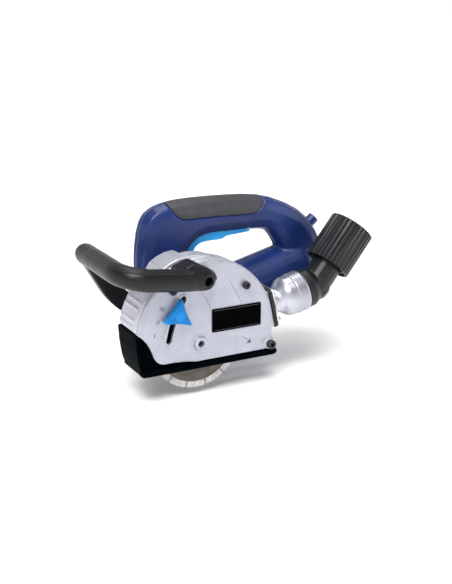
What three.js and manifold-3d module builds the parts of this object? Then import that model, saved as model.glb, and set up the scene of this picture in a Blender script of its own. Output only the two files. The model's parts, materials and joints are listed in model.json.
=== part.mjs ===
// Wall chaser: twin 125 mm diamond discs in a cast guard, swinging depth sole,
// clamshell motor housing with a D-handle, front handle and a swivelling dust port.
// Millimetres. +Z up, -X is the front, -Y is the side with the removable cover.
// Origin: on the sole's running face, below the spindle axis, in the plane of the cover's face.
import * as THREE from 'three';
import { mergeVertices } from 'three/addons/utils/BufferGeometryUtils.js';
import Module from 'manifold-3d';

// ---------- driving dimensions ----------
const GAP = 0.3;                 // clearance between pieces that meet
const DISC_R = 62.5;             // diamond disc radius
const DISC_T = 2.4;              // diamond disc thickness
const CUT_DEPTH = 30;            // disc below the sole in the deepest setting
const GROOVE = 21.4;             // overall width across the two discs
const DISC_Y = 10;               // near face of the near disc
const COVER_T = 4.5;             // side cover thickness
const WALL = 3;                  // cast guard wall
const GUARD_R = 97;              // guard rim, outer radius
const GUARD_X = 10;              // guard rim centre
const GUARD_Z = 42;
const GUARD_REAR = 106;          // rear edge of the guard
const GUARD_W_FRONT = 58;        // guard width at the front
const GUARD_W_REAR = 40;         // guard width at the rear
const FRONT_LIP_Z = 57;          // lower end of the rim at the front
const PIVOT_X = 101;             // sole pivot
const PIVOT_Z = 15;
const PIVOT_R = 4;               // pivot bolt radius
const SLOT_R = 146;              // depth slot radius about the pivot
const SLOT_LOW = 10.5;           // slot ends, degrees above the horizontal
const SLOT_HIGH = 32.5;
const BOLT_ANGLE = 24.4;         // clamp bolt at rest, degrees
const BOLT_R = 3;                // clamp bolt radius
const SLOT_W = 7.4;              // depth slot width
const KNOB_R = 22;               // clamp knob, hub to wing tip
const KNOB_T = 11;               // clamp knob thickness
const KNOB_WAIST = 9.5;          // clamp knob, hub to the hollow between wings
const SOLE_FRONT = -79;          // sole plate ends
const SOLE_REAR = 112;
const SOLE_LEDGE = 3;            // sole plate past the guard on both sides
const SOLE_T = 3;                // sole plate thickness
const SKIRT_T = 2.5;             // sole side walls
const MOTOR_Y = 102;             // mid-plane of motor and D-handle
const MOTOR_TILT = 14;           // motor axis rises rearward, degrees
const MOTOR_R = 38.5;            // motor barrel outer radius
const SHELL = 3;                 // plastic housing wall
const MOTOR_START = 44;          // barrel from here, along the motor axis
const MOTOR_END = 222;           // barrel to here, along the motor axis
const GRIP_HALF = 21;            // half width of the D-handle
const GRIP_ROUND = 17;           // edge rounding of the D-handle
const GRIP_COVER_T = 3;          // soft grip thickness
const SHAFT_R = 5;               // armature shaft radius
const SPINDLE_R = 6;             // spindle radius
const CROWN_TEETH = 32;
const PINION_TEETH = 10;
const CROWN_R = 24;
const PINION_R = 7.5;
const BAR_R = 14;                // front handle tube radius
const BAR_X = -103.5;            // front handle crossbar
const BAR_RISE = 13.8;           // crossbar above the near end of the front handle
const BAR_FAR = 118;             // far end of the crossbar
const LEG_Y = -16;               // near leg of the front handle
const PORT_TILT = 13;            // dust port rises rearward, degrees
const PORT_Y = 27;
const PORT_NECK_R = 16.5;
const PORT_MOUTH_R = 27.5;
const PORT_LEN = 60;             // flange to mouth
const PORT_WALL = 2.5;
const ELBOW_R = 21;              // elbow tube outer radius
const ELBOW_BEND = 36;           // elbow bend, degrees
const ELBOW_TURN = 6;            // elbow turned towards the motor, degrees
const COLLAR_R = 31.5;           // ribbed hose collar, outer radius
const COLLAR_LEN = 63;
const COLLAR_RIBS = 24;
const SCREW_R = 2.5;
const HEAD_R = 5;

// ---------- solid modelling helpers ----------
const wasm = await Module();
wasm.setup();
const { Manifold, Mesh } = wasm;
const rad = THREE.MathUtils.degToRad;
const v3 = (x, y, z) => new THREE.Vector3(x, y, z);

function solid(geometry) {
  const g = geometry.clone();
  g.deleteAttribute('normal');
  g.deleteAttribute('uv');
  const m = mergeVertices(g, 1e-4);
  const vertProperties = new Float32Array(m.attributes.position.array);
  return new Manifold(new Mesh({ numProp: 3, vertProperties, triVerts: new Uint32Array(m.index.array) }));
}

function geometryOf(body) {
  const mesh = body.getMesh();
  const g = new THREE.BufferGeometry();
  g.setAttribute('position', new THREE.BufferAttribute(new Float32Array(mesh.vertProperties), 3));
  g.setIndex(new THREE.BufferAttribute(new Uint32Array(mesh.triVerts), 1));
  return g;
}

const join = (first, ...rest) => rest.reduce((a, b) => a.add(b), first);
const cut = (first, ...rest) => rest.reduce((a, b) => a.subtract(b), first);
const both = (a, b) => a.intersect(b);

// A closed outline from [x, y, cornerRadius] points.
function outline(points, Kind = THREE.Shape) {
  const path = new Kind();
  const n = points.length;
  points.forEach(([x, y, r = 0], i) => {
    const here = new THREE.Vector2(x, y);
    const from = new THREE.Vector2(...points[(i + n - 1) % n]);
    const to = new THREE.Vector2(...points[(i + 1) % n]);
    const start = here.clone().lerp(from, Math.min(0.45, r / here.distanceTo(from)));
    const end = here.clone().lerp(to, Math.min(0.45, r / here.distanceTo(to)));
    if (i === 0) path.moveTo(start.x, start.y);
    else path.lineTo(start.x, start.y);
    if (r > 0) path.quadraticCurveTo(x, y, end.x, end.y);
  });
  return path;
}

function extrude(shape, depth, round = 0, steps = 3, curveSegments = 6, inset = 0) {
  const g = new THREE.ExtrudeGeometry(shape, {
    depth: depth - 2 * round,
    bevelEnabled: round > 0,
    bevelThickness: round,
    bevelSize: round,
    bevelOffset: -round - inset,
    bevelSegments: steps,
    curveSegments,
  });
  if (round > 0) g.translate(0, 0, round);
  return g;
}

// Outline in X and Z, standing from y0 to y1.
function upright(shape, y0, y1, round, steps, curveSegments, inset) {
  const g = extrude(shape, y1 - y0, round, steps, curveSegments, inset);
  g.rotateX(Math.PI / 2);
  g.translate(0, y1, 0);
  return solid(g);
}

// Outline in X and Y, lying from z0 to z1.
function flat(shape, z0, z1, round, steps, curveSegments) {
  const g = extrude(shape, z1 - z0, round, steps, curveSegments);
  g.translate(0, 0, z0);
  return solid(g);
}

function aim(geometry, from, direction) {
  const turn = new THREE.Quaternion().setFromUnitVectors(v3(0, 1, 0), direction.clone().normalize());
  geometry.applyQuaternion(turn);
  geometry.translate(from.x, from.y, from.z);
  return solid(geometry);
}

// A rod from one point to another.
function rod(from, to, r, segments = 20, rEnd = r) {
  const axis = to.clone().sub(from);
  const g = new THREE.CylinderGeometry(rEnd, r, axis.length(), segments);
  g.translate(0, axis.length() / 2, 0);
  return aim(g, from, axis);
}

const ring = (from, to, rOuter, rInner, segments = 20) => {
  const reach = to.clone().sub(from).normalize();
  const tool = rod(from.clone().sub(reach), to.clone().add(reach), rInner, segments);
  return cut(rod(from, to, rOuter, segments), tool);
};

// A turned piece: [radius, distance along the axis] points.
function turned(profile, from, direction, segments = 24) {
  const points = profile.map(([r, along]) => new THREE.Vector2(r, along));
  return aim(new THREE.LatheGeometry(points, segments), from, direction);
}

function block(x0, x1, y0, y1, z0, z1) {
  const g = new THREE.BoxGeometry(x1 - x0, y1 - y0, z1 - z0);
  g.translate((x0 + x1) / 2, (y0 + y1) / 2, (z0 + z1) / 2);
  return solid(g);
}

const ball = (at, r, segments = 16) => {
  const g = new THREE.SphereGeometry(r, segments, segments / 2);
  g.translate(at.x, at.y, at.z);
  return solid(g);
};

const model = new THREE.Group();
function piece(name, body, color, roughness = 0.6, metalness = 0) {
  const material = new THREE.MeshStandardMaterial({ color, roughness, metalness, flatShading: true });
  const mesh = new THREE.Mesh(geometryOf(body), material);
  mesh.name = name;
  model.add(mesh);
}

const CAST = 0xc6c7cc;
const STEEL = 0x9a9ca0;
const BLACK = 0x26282b;
const NAVY = 0x26366f;
const BRIGHT = 0x1591e0;

// ---------- shared axes ----------
const SPINDLE_Z = DISC_R - CUT_DEPTH;
const spindleAt = (y) => v3(0, y, SPINDLE_Z);
const FAR_DISC_Y = DISC_Y + GROOVE - DISC_T;

const motorAxis = v3(Math.cos(rad(MOTOR_TILT)), 0, Math.sin(rad(MOTOR_TILT)));
const motorAt = (t) => spindleAt(MOTOR_Y).addScaledVector(motorAxis, t);

const pivotAt = (y) => v3(PIVOT_X, y, PIVOT_Z);
const slotPoint = (degrees, r = SLOT_R) =>
  [PIVOT_X - r * Math.cos(rad(degrees)), PIVOT_Z + r * Math.sin(rad(degrees))];
const [BOLT_X, BOLT_Z] = slotPoint(BOLT_ANGLE);
const boltAt = (y) => v3(BOLT_X, y, BOLT_Z);

const rimPoint = (degrees, r) =>
  [GUARD_X + r * Math.cos(rad(degrees)), GUARD_Z + r * Math.sin(rad(degrees))];

// ---------- guard and cover ----------
const COVER_SCREW_R = GUARD_R - 17.5;
const COVER_SCREWS = [126.5, 46.5].map((a) => rimPoint(a, COVER_SCREW_R));
const HANDLE_SCREW = rimPoint(98, COVER_SCREW_R - 1);
const BAR_Z = HANDLE_SCREW[1] + BAR_RISE;
const GUARD_TOP = GUARD_Z + GUARD_R;
const RIM_BEVEL = 4.5;

// Guard side outline, open downwards past the sole.
function guardOutline(inset = 0, low = -12) {
  const s = new THREE.Shape();
  const r = GUARD_R - inset;
  const rear = GUARD_REAR - inset;
  const end = Math.acos((rear - GUARD_X) / r);
  s.moveTo(GUARD_X - r, low);
  s.lineTo(rear, low);
  s.absarc(GUARD_X, GUARD_Z, r, end, Math.PI, false);
  s.closePath();
  return s;
}

// What the guard leaves open at the bottom and at the front corner.
function lowerCut(y0, y1, drop = 0) {
  const s = new THREE.Shape();
  s.moveTo(GUARD_X - GUARD_R - 6, -14);
  s.lineTo(GUARD_X - GUARD_R - 6, FRONT_LIP_Z - drop);
  s.lineTo(-86, FRONT_LIP_Z - drop);
  s.quadraticCurveTo(-70, 46 - drop, -64, 26 - drop);
  s.quadraticCurveTo(-60, 12 - drop, -46, 12 - drop);
  s.quadraticCurveTo(-26, 13 - drop, -6, 8.5 - drop);
  s.lineTo(GUARD_REAR + 6, 8.5 - drop);
  s.lineTo(GUARD_REAR + 6, -14);
  s.closePath();
  return upright(s, y0, y1, 0, 1, 6);
}

// The wide front part of the guard stops at a slanting step.
const wideRegion = (inset = 0) => outline([
  [GUARD_X - GUARD_R - 10, -20], [-40 - inset, -20], [-8 - inset, GUARD_Z + GUARD_R + 12],
  [GUARD_X - GUARD_R - 10, GUARD_Z + GUARD_R + 12],
]);

const portAxis = v3(Math.cos(rad(PORT_TILT)), 0, Math.sin(rad(PORT_TILT)));
const portRoot = v3(GUARD_REAR - 1, PORT_Y, 58);
const portAt = (t) => portRoot.clone().addScaledVector(portAxis, t);
const PORT_PAD = 3;               // guard pad face, along the port axis
const PAD_HALF_Y = 21;
const PAD_HALF_Z = 25;

// A plate square to the port axis, from t0 to t1 along it.
function portPlate(t0, t1, halfY, halfZ, round) {
  const s = outline([
    [-halfZ, -halfY, round], [halfZ, -halfY, round], [halfZ, halfY, round], [-halfZ, halfY, round],
  ]);
  const g = extrude(s, t1 - t0, 0, 1, 3);
  g.translate(0, 0, t0);
  g.applyMatrix4(new THREE.Matrix4().makeBasis(
    v3(-portAxis.z, 0, portAxis.x).negate(), v3(0, 1, 0), portAxis));
  g.translate(portRoot.x, portRoot.y, portRoot.z);
  return solid(g);
}

const PORT_SCREWS = [[-17, -18], [-17, 18], [17, -18], [17, 18]];
const portScrewAt = (t, [y, z]) => portAt(t).add(v3(-portAxis.z * z, y, portAxis.x * z));

function guard() {
  const y0 = COVER_T + GAP;
  const wideOuter = both(
    upright(guardOutline(), y0 - 6, GUARD_W_FRONT, 3, 1, 14),
    upright(wideRegion(), y0, GUARD_W_FRONT + 1));
  const slimOuter = both(
    upright(guardOutline(), y0 - 6, GUARD_W_REAR, 3, 1, 14),
    block(-200, 200, y0, GUARD_W_REAR + 1, -50, 250));
  // Raised panels on the top of the rim: [angle, height over the rim].
  const panel = (ridge, y1) => upright(outline([
    ...ridge.map(([a, h]) => rimPoint(a, GUARD_R + h)),
    ...ridge.toReversed().map(([a]) => rimPoint(a, GUARD_R - 2)),
  ]), 16, y1);
  const raised = join(
    panel([[99.5, 2], [102, 4.5], [108, 6], [115, 6], [121, 5], [125, 2], [128, -1]], GUARD_W_FRONT - 1),
    panel([[78, -1], [84, 1.5], [90, 3], [96, 4], [102, 4.5]], GUARD_W_REAR - 1));
  const pad = both(portPlate(-30, PORT_PAD, PAD_HALF_Y - 1, PAD_HALF_Z, 4),
    block(GUARD_X, 200, y0, GUARD_W_REAR + 8, 0, 200));
  const tool = join(
    both(upright(guardOutline(WALL, -40), y0 - 6, GUARD_W_FRONT - WALL, 0, 1, 14),
      upright(wideRegion(WALL), y0 - 5, GUARD_W_FRONT)),
    upright(guardOutline(WALL, -40), y0 - 6, GUARD_W_REAR - WALL, 0, 1, 14));
  const posts = [...COVER_SCREWS, HANDLE_SCREW].map(([x, z]) =>
    rod(v3(x, y0, z), v3(x, (x < -20 ? GUARD_W_FRONT : GUARD_W_REAR) - 1, z), 6, 12));
  const ribs = [];
  for (const a of [149, 154, 163, 168]) {
    const [x, z] = rimPoint(a, GUARD_R - 0.5);
    ribs.push(rod(v3(x, 14, z), v3(x, GUARD_W_FRONT - 4, z), 1.6, 8));
  }
  let body = cut(join(wideOuter, slimOuter, raised, pad, ...ribs), tool);
  body = join(body, ...posts);
  const holes = [...COVER_SCREWS, HANDLE_SCREW].map(([x, z]) =>
    rod(v3(x, y0 - 1, z), v3(x, 22, z), SCREW_R + GAP, 12));
  const portHoles = PORT_SCREWS.map((p) =>
    rod(portScrewAt(-7, p), portScrewAt(PORT_PAD + 1, p), 1.5 + GAP, 8));
  return cut(body, lowerCut(-20, 100), ...holes, ...portHoles,
    portPlate(PORT_PAD, PORT_PAD + 40, GUARD_W_FRONT, GUARD_R, 1),
    block(-150, -79.5, -20, 100, -40, FRONT_LIP_Z),
    block(PIVOT_X - 3, 150, y0 - 1, GUARD_W_REAR - WALL, -40, PIVOT_Z + 12),
    rod(portAt(-60), portAt(20), PORT_NECK_R - PORT_WALL, 24),
    rod(spindleAt(GUARD_W_REAR - 8), spindleAt(GUARD_W_REAR + 2), 15, 24),
    rod(pivotAt(GUARD_W_REAR - 8), pivotAt(GUARD_W_REAR + 2), PIVOT_R + GAP, 16));
}

function depthSlot(width, y0, y1) {
  const s = new THREE.Shape();
  const steps = 6;
  const side = (r, from, to) => Array.from({ length: steps + 1 }, (_, i) =>
    slotPoint(from + (to - from) * i / steps, r));
  const rim = [...side(SLOT_R + width / 2, SLOT_LOW, SLOT_HIGH),
    ...side(SLOT_R - width / 2, SLOT_HIGH, SLOT_LOW)];
  s.setFromPoints(rim.map(([x, z]) => new THREE.Vector2(x, z)));
  const ends = [SLOT_LOW, SLOT_HIGH].map((a) => {
    const [x, z] = slotPoint(a);
    return rod(v3(x, y0, z), v3(x, y1, z), width / 2, 16);
  });
  return join(upright(s, y0, y1), ...ends);
}

const BOSS_R = 9.5;
const BOSS_H = 5;
function cover() {
  const plate = both(upright(guardOutline(), 0, 20, RIM_BEVEL, 2, 14), block(-200, 200, -1, COVER_T, -50,
    250));
  const lip = both(depthSlot(SLOT_W + 5, -0.8, 1), block(-200, 0, -2, 3, 0, 200));
  const boss = rod(spindleAt(1), spindleAt(-BOSS_H), BOSS_R, 24, BOSS_R - 1);
  const tab = rod(pivotAt(0.5), pivotAt(-1.5), 7.5, 16);
  const holes = [...COVER_SCREWS, HANDLE_SCREW].map(([x, z]) =>
    rod(v3(x, -9, z), v3(x, 9, z), SCREW_R + GAP, 12));
  const body = join(cut(plate, lowerCut(-20, 100)), lip, boss, tab);
  return cut(body, depthSlot(SLOT_W, -9, 9), ...holes,
    rod(spindleAt(-20), spindleAt(20), 4.3, 16),
    rod(pivotAt(-20), pivotAt(20), PIVOT_R + GAP, 16));
}

// Cap screw along an axis: the head's underside is at the seat.
function capScrew(seat, direction, length, r, headR, headH, socket = true) {
  const d = direction.clone().normalize();
  const head = rod(seat.clone(), seat.clone().addScaledVector(d, -headH), headR, 12);
  const shank = rod(seat.clone().addScaledVector(d, -0.5), seat.clone().addScaledVector(d, length), r, 8);
  const hex = rod(seat.clone().addScaledVector(d, -headH - 1), seat.clone().addScaledVector(d,
    -headH * 0.35),
    headR * 0.5, 6);
  return socket ? cut(join(head, shank), hex) : join(head, shank);
}

// ---------- sole ----------
const NEAR_SKIRT = COVER_T + 0.5;
const SOLE_FAR = GUARD_W_FRONT + SOLE_LEDGE;
const SOLE_FAR_REAR = GUARD_W_REAR + SOLE_LEDGE;
const REAR_SKIRT = GUARD_W_REAR - WALL - 0.5;
const FRONT_SKIRT = GUARD_W_FRONT - WALL - 2.5;
const TONGUE_R = 183;            // tongue that slides inside the guard, about the pivot

// Side view of the walls: nose, tongue hidden in the guard, low waist, pivot lug.
function skirtOutline() {
  const s = new THREE.Shape();
  s.moveTo(SOLE_FRONT, 0.5);
  s.quadraticCurveTo(-86, 22, -87, FRONT_LIP_Z - 2 * GAP - 1);
  s.lineTo(-78.3, FRONT_LIP_Z - 2 * GAP - 1);
  for (let a = 13.5; a <= 25.5; a += 3) s.lineTo(...slotPoint(a, TONGUE_R));
  s.lineTo(BOLT_X - 4, BOLT_Z + 13);
  s.quadraticCurveTo(BOLT_X + 9, BOLT_Z + 11, BOLT_X + 9, BOLT_Z);
  s.lineTo(-28, 26);
  s.quadraticCurveTo(-26, 12, -16, 12);
  s.lineTo(72, 10);
  s.quadraticCurveTo(84, 14, PIVOT_X - 7, PIVOT_Z + 6);
  s.absarc(PIVOT_X, PIVOT_Z, 9, rad(125), 0, true);
  s.lineTo(SOLE_REAR - 2, 0.5);
  s.closePath();
  return s;
}

function sole() {
  const plate = flat(outline([
    [SOLE_FRONT, -SOLE_LEDGE, 4], [SOLE_REAR, -SOLE_LEDGE, 9], [SOLE_REAR, SOLE_FAR_REAR, 9],
    [-14, SOLE_FAR_REAR, 6], [-36, SOLE_FAR, 8], [SOLE_FRONT, SOLE_FAR, 4],
  ]), 0, SOLE_T, 0, 1, 4);
  const ledge = cut(flat(outline([
    [SOLE_FRONT - 2, -SOLE_LEDGE, 5], [SOLE_REAR, -SOLE_LEDGE, 9], [SOLE_REAR, 3, 4], [SOLE_FRONT - 2, 7,
      3],
  ]), 1, 6.8, 1.2, 1, 3), block(-200, 200, -20, -SOLE_LEDGE - 1, -5, 50));
  const block3 = (y0, y1) => upright(skirtOutline(), y0, y1, 0, 1, 3);
  const near = block3(NEAR_SKIRT, NEAR_SKIRT + SKIRT_T);
  const farFront = both(block3(FRONT_SKIRT, FRONT_SKIRT + SKIRT_T), block(-200, -40, 0, 100, 0, 200));
  const farRear = both(block3(REAR_SKIRT - SKIRT_T, REAR_SKIRT), block(-40, 200, 0, 100, 0, 200));
  // Front shield: the nose wall between the two front skirts.
  const shell = block3(NEAR_SKIRT, FRONT_SKIRT + SKIRT_T);
  const inner = new THREE.Shape();
  inner.moveTo(SOLE_FRONT + 3, -3);
  inner.quadraticCurveTo(-83, 22, -83.6, 50);
  inner.lineTo(-75.4, 52);
  for (let a = 13.5; a <= 30; a += 3) inner.lineTo(...slotPoint(a, TONGUE_R - SKIRT_T));
  inner.lineTo(200, 130);
  inner.lineTo(200, -3);
  inner.closePath();
  const nose = cut(shell, upright(inner, -5, 90, 0, 1, 3));
  const lobe = both(upright(skirtOutline(), 0.8, GUARD_W_FRONT - 0.8, 0, 1, 3),
    both(lowerCut(0, GUARD_W_FRONT, 1), block(-200, -80.5, 0, 100, 0, 54)));
  const lobeTool = upright(inner, NEAR_SKIRT, FRONT_SKIRT + SKIRT_T, 0, 1, 3);
  const step = block(-42, -39, REAR_SKIRT - SKIRT_T, FRONT_SKIRT + SKIRT_T, 0.5, 20);
  const body = join(plate, ledge, near, farFront, farRear, nose, cut(lobe, lobeTool), step);
  const slot = flat(outline([
    [-60, NEAR_SKIRT + SKIRT_T, 4], [62, NEAR_SKIRT + SKIRT_T, 4],
    [62, REAR_SKIRT - SKIRT_T, 4], [-60, REAR_SKIRT - SKIRT_T, 4],
  ]), -1, 40, 0, 1, 4);
  return cut(body, both(slot, block(-60, 62, NEAR_SKIRT + SKIRT_T, REAR_SKIRT - SKIRT_T, -1, 9)),
    rod(pivotAt(-20), pivotAt(100), PIVOT_R + GAP, 16),
    rod(boltAt(0), boltAt(20), BOLT_R + GAP, 12));
}

// ---------- disc drive ----------
function disc(y) {
  const core = rod(spindleAt(y + 0.2), spindleAt(y + DISC_T - 0.2), DISC_R - 7, 30);
  const rim = ring(spindleAt(y), spindleAt(y + DISC_T), DISC_R, DISC_R - 8, 30);
  const slots = [];
  for (let i = 0; i < 9; i += 1) {
    const a = rad(i * 40);
    const reach = (r) => v3(r * Math.cos(a), 0, r * Math.sin(a)).add(spindleAt(y + DISC_T / 2));
    const g = new THREE.BoxGeometry(3, 15, DISC_T + 2);
    slots.push(aim(g, reach(DISC_R - 5), reach(1).sub(reach(0))));
  }
  const hole = rod(spindleAt(y - 5), spindleAt(y + 9), 8 + GAP, 20);
  return cut(join(core, rim), hole, ...slots);
}

const FLANGE_R = 16;
const spindleSteps = {
  nutFace: DISC_Y - GAP,
  farFace: FAR_DISC_Y + DISC_T + GAP,
};

function spindle() {
  const end = MOTOR_Y + 28;
  const core = rod(spindleAt(spindleSteps.nutFace - 4), spindleAt(end), SPINDLE_R, 20);
  const bush = rod(spindleAt(DISC_Y - 0.1), spindleAt(FAR_DISC_Y + DISC_T), 8, 20);
  const collar = rod(spindleAt(spindleSteps.farFace), spindleAt(spindleSteps.farFace + 3), FLANGE_R - 2,
    20);
  const hex = rod(spindleAt(0), spindleAt(spindleSteps.nutFace + 6), 3, 6);
  return cut(join(core, bush, collar), hex);
}

function crownGear() {
  const toothTop = MOTOR_Y - PINION_R + 1.2;
  const back = ring(spindleAt(toothTop - 9), spindleAt(toothTop - 2.6), CROWN_R, SPINDLE_R + GAP, 32);
  const teeth = [];
  const rIn = CROWN_R - 7;
  for (let i = 0; i < CROWN_TEETH; i += 1) {
    const a = MOTOR_TILT + (i + 0.5) * 360 / CROWN_TEETH;
    const half = 0.17 * 360 / CROWN_TEETH;
    const at = (r, off) => {
      const t = rad(a + off);
      return [r * Math.cos(t), SPINDLE_Z + r * Math.sin(t)];
    };
    const s = outline([at(rIn, -half), at(CROWN_R, -half), at(CROWN_R, half), at(rIn, half)]);
    teeth.push(upright(s, toothTop - 3, toothTop));
  }
  return join(back, ...teeth);
}

function pinion() {
  const t0 = CROWN_R - 7.4;
  const t1 = CROWN_R + 0.6;
  const s = new THREE.Shape();
  const root = PINION_R - 3;
  for (let i = 0; i < PINION_TEETH; i += 1) {
    const mid = -90 + i * 360 / PINION_TEETH;
    for (const [r, off] of [[root, -11], [PINION_R, -2.8], [PINION_R, 2.8], [root, 11]]) {
      const a = rad(mid + off);
      if (i === 0 && off === -11) s.moveTo(r * Math.cos(a), r * Math.sin(a));
      else s.lineTo(r * Math.cos(a), r * Math.sin(a));
    }
  }
  s.closePath();
  const g = extrude(s, t1 - t0, 0);
  g.translate(0, 0, t0);
  // Outline x runs across, y along +Y of the tool, z along the motor axis.
  g.applyMatrix4(new THREE.Matrix4().makeBasis(
    v3(0, 1, 0).cross(motorAxis), v3(0, 1, 0), motorAxis));
  const at = spindleAt(MOTOR_Y);
  g.translate(at.x, at.y, at.z);
  return cut(solid(g), rod(motorAt(0), motorAt(60), 3, 12));
}

// ---------- gear housing ----------
const GEAR_TOP = 81;
const GEAR_FRONT = -44;
const GEAR_NEAR = 60.5;
const GEAR_FAR = MOTOR_Y + 38;
const NECK_R = 24;
const BEARING_R = 14;
const motorFace = MOTOR_START - GAP;

// Everything behind a plane square to the motor axis at t.
function behind(t, size = 200) {
  const g = new THREE.BoxGeometry(size, size * 2, size * 2);
  g.translate(size / 2 + t, 0, 0);
  g.rotateY(-rad(MOTOR_TILT));
  const at = spindleAt(MOTOR_Y);
  g.translate(at.x, at.y, at.z);
  return solid(g);
}

function gearHousing() {
  const side = outline([
    [GEAR_FRONT, 18, 9], [GEAR_FRONT + 14, 6, 9], [70, 6], [70, GEAR_TOP],
    [GEAR_FRONT + 10, GEAR_TOP, 9], [GEAR_FRONT, GEAR_TOP - 14, 9],
  ]);
  const outer = cut(upright(side, GEAR_NEAR, GEAR_FAR, 5, 2, 3), behind(motorFace));
  const neck = rod(spindleAt(GUARD_W_REAR + GAP), spindleAt(GEAR_NEAR + 3), NECK_R, 28);
  const inside = outline([
    [-32, SPINDLE_Z - 24, 6], [38, SPINDLE_Z - 24, 4], [26, GEAR_TOP - 9, 4], [-32, GEAR_TOP - 12, 8],
  ]);
  const room = upright(inside, MOTOR_Y - 24, MOTOR_Y + 18);
  return cut(join(outer, neck), room,
    rod(spindleAt(20), spindleAt(MOTOR_Y), SPINDLE_R + 1, 20),
    rod(spindleAt(GUARD_W_REAR + 8), spindleAt(MOTOR_Y), BEARING_R + GAP, 28),
    rod(spindleAt(MOTOR_Y), spindleAt(MOTOR_Y + 31), 11 + GAP, 24),
    rod(motorAt(20), motorAt(80), 13 + GAP, 24),
    rod(v3(GEAR_FRONT - 10, MOTOR_Y - 12.5, SPINDLE_Z), v3(0, MOTOR_Y - 12.5, SPINDLE_Z), 3 + GAP, 12),
    rod(v3(GEAR_FRONT - 10, FAR_STRUT_Y, STRUT_SCREW_Z), v3(GEAR_FRONT + 12, FAR_STRUT_Y, STRUT_SCREW_Z),
      SCREW_R + GAP, 12));
}

// ---------- motor housing with D-handle ----------
const HOUSING_REAR_X = 238;
const handleOutline = () => outline([
  [-38, 4], [-44, 128, 30], [-34, 180, 34], [0, 195, 34], [76, 195, 60], [150, 190, 45],
  [212, 160, 40], [HOUSING_REAR_X + 4, 112, 34], [HOUSING_REAR_X - 6, 72],
]);
const windowOutline = () => outline([
  [42, 76, 6], [172, 104, 4], [164, 122, 14], [150, 142, 16], [122, 144, 10], [48, 145, 16], [27, 126, 14],
  [22, 98, 10],
]);

// The hand window, flared so that the solid around it has rounded edges.
function windowTool(inset) {
  const half = GRIP_HALF - inset + 0.5;
  const g = new THREE.ExtrudeGeometry(windowOutline(), {
    depth: 2 * (half - GRIP_ROUND),
    bevelEnabled: true,
    bevelThickness: GRIP_ROUND,
    bevelSize: -GRIP_ROUND,
    bevelOffset: GRIP_ROUND + inset,
    bevelSegments: 2,
    curveSegments: 3,
  });
  g.rotateX(Math.PI / 2);
  g.translate(0, MOTOR_Y + half - GRIP_ROUND, 0);
  return solid(g);
}

function handleSlab(inset = 0) {
  const half = GRIP_HALF - inset;
  const slab = upright(handleOutline(), MOTOR_Y - half, MOTOR_Y + half, GRIP_ROUND, 2, 3, inset);
  return cut(slab, windowTool(inset));
}

const barrel = (r, t0, t1, round) => turned([
  [0, t0], [r, t0], [r, t1 - round], [r - round * 0.3, t1 - round * 0.35], [r - round, t1], [0, t1],
], spindleAt(MOTOR_Y), motorAxis, 24);

const gripRegion = (grow = 0) => outline([
  [-10 - grow, 215], [4 - grow, 184, 8], [14, 171 - grow, 10], [60, 171 - grow, 20], [126, 168 - grow, 10],
  [143 + grow, 184, 8], [150 + grow, 215],
]);

const SWITCH_X = [38, 84];
const SWITCH_Z = [156, 174];
const TRIGGER_HALF = 9;
const TRIGGER_PIVOT = [118, 149];
const INLET_AXIS = v3(0.77, 0, 0.638).normalize();
const INLET_AT = v3(216, MOTOR_Y, 137);

function housing() {
  const slab = cut(handleSlab(), block(-100, 200, 0, 200, 0, GEAR_TOP + GAP + 2));
  const base = both(handleSlab(), behind(MOTOR_START + 20));
  const shell = join(slab, base, barrel(MOTOR_R, MOTOR_START, MOTOR_END, 14));
  const grip = cut(upright(gripRegion(GAP), MOTOR_Y - 40, MOTOR_Y + 40), handleSlab(GRIP_COVER_T + GAP));
  const tools = [
    grip,
    rod(motorAt(MOTOR_START - 30), motorAt(172), MOTOR_R - SHELL, 24),
    rod(motorAt(170), motorAt(184), 11 + GAP, 24),
    block(SWITCH_X[0] - 2, SWITCH_X[1] + 12, MOTOR_Y - 13, MOTOR_Y + 13, SWITCH_Z[0] - 2, SWITCH_Z[1] + 2),
    block(10, TRIGGER_PIVOT[0] + 8, MOTOR_Y - TRIGGER_HALF - 0.5, MOTOR_Y + TRIGGER_HALF + 0.5, 112,
      SWITCH_Z[0] + 1),
    rod(v3(TRIGGER_PIVOT[0], MOTOR_Y - 14, TRIGGER_PIVOT[1]), v3(TRIGGER_PIVOT[0], MOTOR_Y + 14,
      TRIGGER_PIVOT[1]),
      2 + GAP, 12),
    rod(INLET_AT.clone().addScaledVector(INLET_AXIS, -22), INLET_AT.clone().addScaledVector(INLET_AXIS,
      30), 8 + GAP, 20),
  ];
  return cut(shell, ...tools);
}

const HOUSING_SCREWS = [[-24, 96], [-22, 158], [158, 172], [190, 152], [205, 70]];

// Cooling slots through the far shell, square to the motor axis.
const VENT_W = 4;
const VENT_H = 22;
function ventSlots() {
  return [74, 82, 90, 98, 106, 114].map((t) => {
    const g = new THREE.BoxGeometry(VENT_W, 30, VENT_H);
    g.rotateY(-rad(MOTOR_TILT));
    const at = motorAt(t);
    g.translate(at.x, MOTOR_Y + MOTOR_R, at.z);
    return solid(g);
  });
}

function housingHalf(whole, near) {
  const keep = near ? block(-300, 400, -50, MOTOR_Y - GAP / 2, -50, 300)
    : block(-300, 400, MOTOR_Y + GAP / 2, 300, -50, 300);
  const holes = HOUSING_SCREWS.map(([x, z]) => join(
    rod(v3(x, MOTOR_Y - 8, z), v3(x, MOTOR_Y + 60, z), 2 + GAP, 10),
    rod(v3(x, MOTOR_Y + 12, z), v3(x, MOTOR_Y + 60, z), 4 + GAP, 14)));
  return cut(both(whole, keep), ...holes, ...(near ? [] : ventSlots()));
}

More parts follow.
